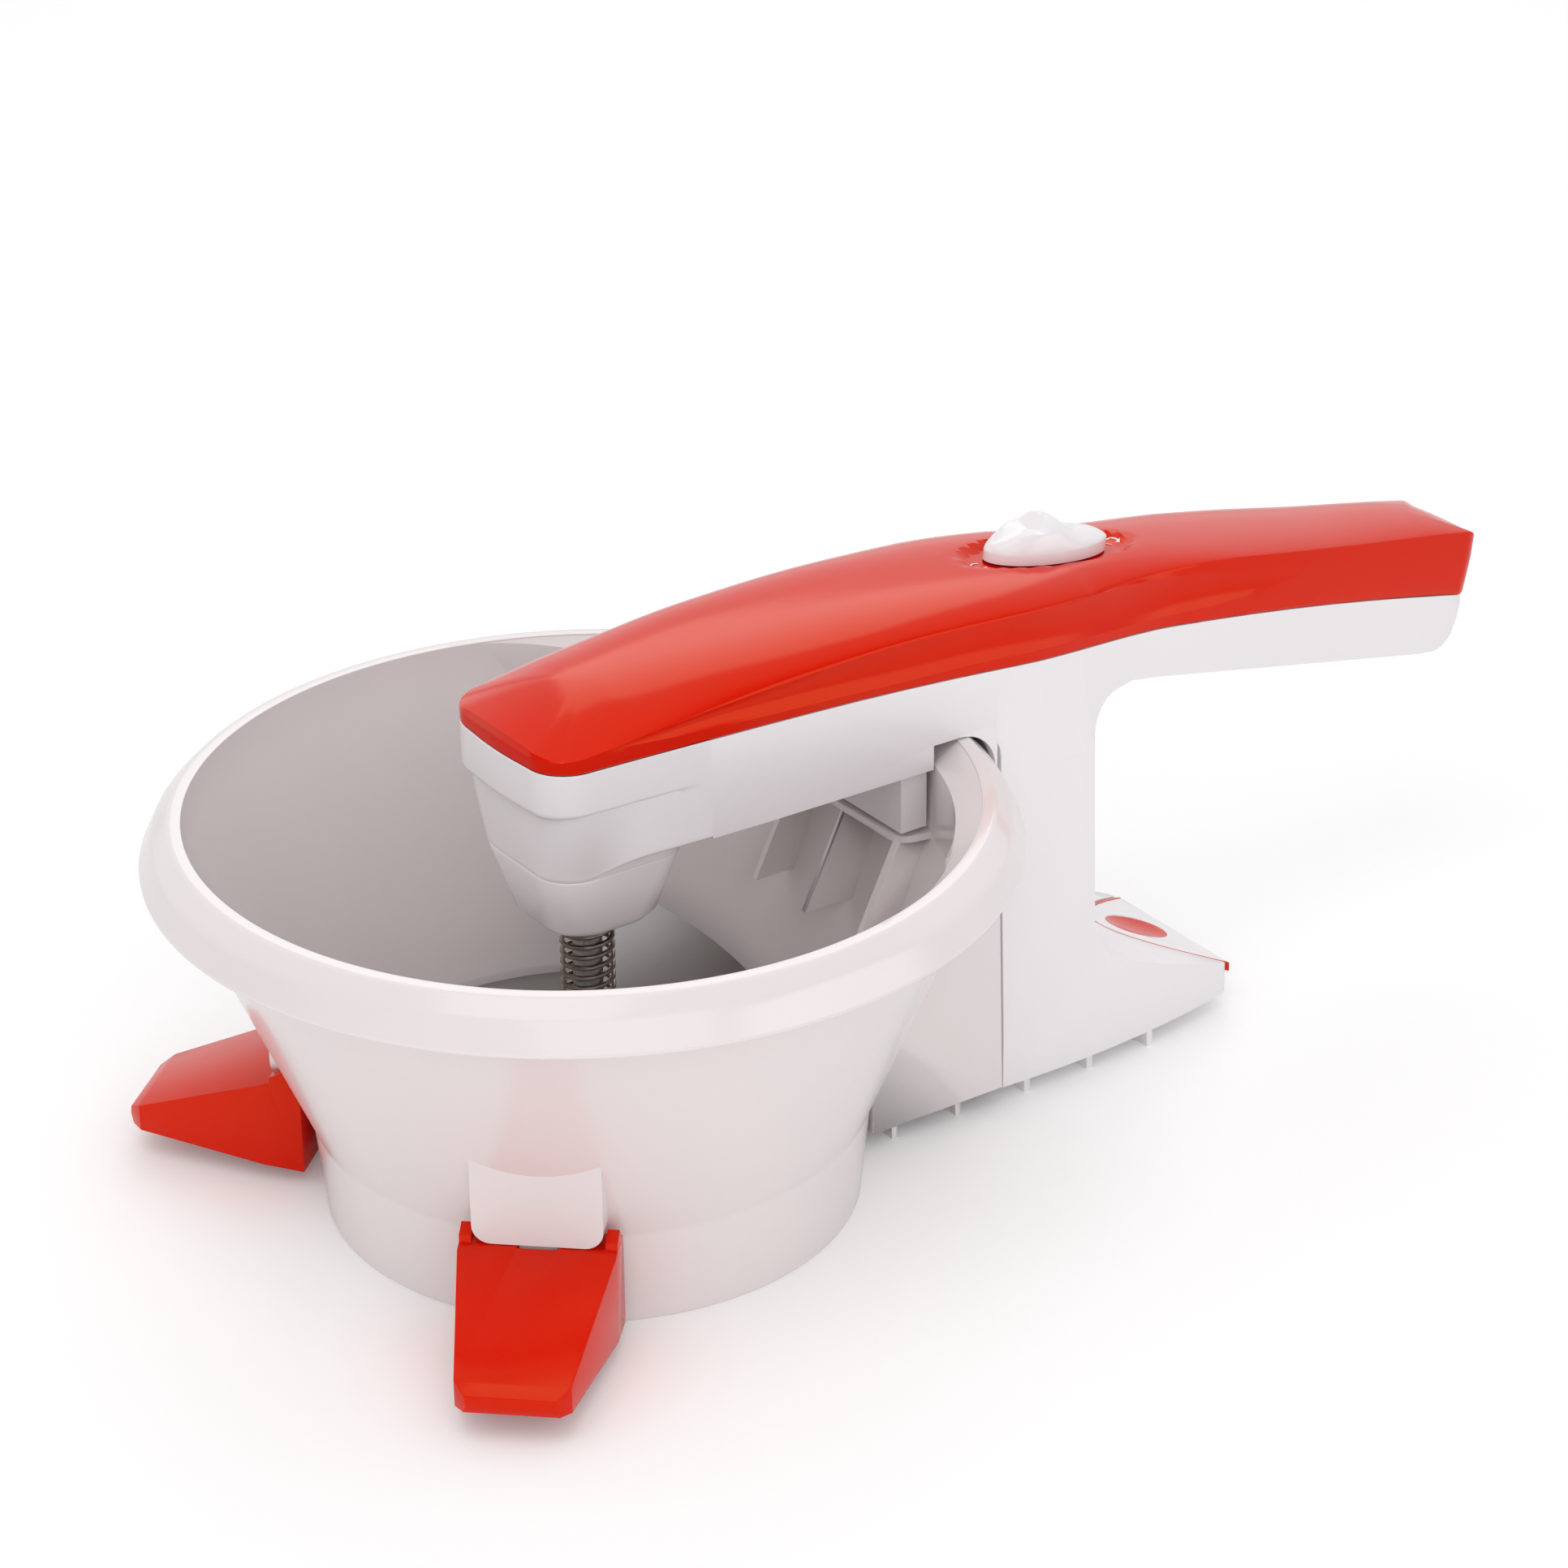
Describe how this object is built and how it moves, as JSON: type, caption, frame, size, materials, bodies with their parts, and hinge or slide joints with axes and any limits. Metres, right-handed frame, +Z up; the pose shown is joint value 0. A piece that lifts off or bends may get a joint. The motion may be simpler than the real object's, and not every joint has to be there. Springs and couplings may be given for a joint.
{
  "type": "electric food mill",
  "caption": "Electric food mill: a conical bowl on a spigot and clip-on feet, with a detachable motor unit whose arm drives a sprung blade over a perforated disc.",
  "frame": {"origin": "on the bowl axis in the plane that the mill rests on", "axes": "+X from the bowl axis towards the handle end, +Z up the bowl axis, +Y completes the right-handed set"},
  "size_m": [0.4224, 0.2332, 0.1597],
  "materials": {
    "white_moulding": "gloss, warm white",
    "red_moulding": "gloss, red",
    "stamped_steel": "brushed stainless steel",
    "spring_steel": "drawn spring wire",
    "motor_steel": "zinc plated",
    "bronze": "sintered bronze",
    "seal_rubber": "matt black",
    "black_plastic": "matt black",
    "board": "green laminate"
  },
  "bodies": {
    "mill": {"bowl": "white_moulding", "mill_disc": "stamped_steel", "lower_housing": "white_moulding", "upper_cover": "red_moulding", "boss_cap": "white_moulding", "shaft_seal": "seal_rubber", "lower_bush": "bronze", "upper_bush": "bronze", "gear_bracket": "motor_steel", "gearhead": "motor_steel", "motor_can": "motor_steel", "motor_end_cap": "black_plastic", "switch_body": "black_plastic", "control_board": "board", "cord_gland": "seal_rubber", "lever_pin": "stamped_steel", "lever_spring": "spring_steel"},
    "drive": {"spindle": "stamped_steel", "crown_wheel": "white_moulding", "scraper": "stamped_steel", "spindle_nut": "white_moulding", "pressure_spring": "spring_steel"},
    "blade": {"blade": "stamped_steel"},
    "pinion": {"pinion_shaft": "stamped_steel"},
    "knob": {"switch_knob": "white_moulding"},
    "release": {"release_lever": "red_moulding", "release_panel": "white_moulding"},
    "foot_left": {"foot_left": "red_moulding"},
    "foot_right": {"foot_right": "red_moulding"}
  },
  "joints": [
    {"name": "spindle_spin", "type": "hinge", "parent": "mill", "child": "drive", "pos_m": [0, 0, 0.1], "axis": [0, 0, 1], "continuous": true},
    {"name": "pinion_spin", "type": "hinge", "parent": "mill", "child": "pinion", "pos_m": [0.014, 0, 0.128], "axis": [1, 0, 0], "continuous": true},
    {"name": "blade_float", "type": "slide", "parent": "drive", "child": "blade", "axis": [0, 0, 1], "range_m": [0, 0.003], "stiffness_N_per_m": 700, "springref_m": -0.006, "deforming": ["pressure_spring"]},
    {"name": "switch_slide", "type": "slide", "parent": "mill", "child": "knob", "axis": [0.9923, 0, -0.124], "range_m": [-0.0055, 0.0055]},
    {"name": "release_press", "type": "hinge", "parent": "mill", "child": "release", "pos_m": [0.1525, 0, 0.013], "axis": [0, 1, 0], "range_deg": [0, 2.5], "stiffness_Nm_per_rad": 1.5, "springref_deg": -4.58, "deforming": ["lever_spring"]},
    {"name": "foot_left_pull", "type": "slide", "parent": "mill", "child": "foot_left", "axis": [-0.6691, -0.7431, 0], "range_m": [0, 0.03]},
    {"name": "foot_right_pull", "type": "slide", "parent": "mill", "child": "foot_right", "axis": [-0.6691, 0.7431, 0], "range_m": [0, 0.03]}
  ],
  "couplings": [
    {"joint": "pinion_spin", "follows": "spindle_spin", "ratio": 2.3333}
  ]
}
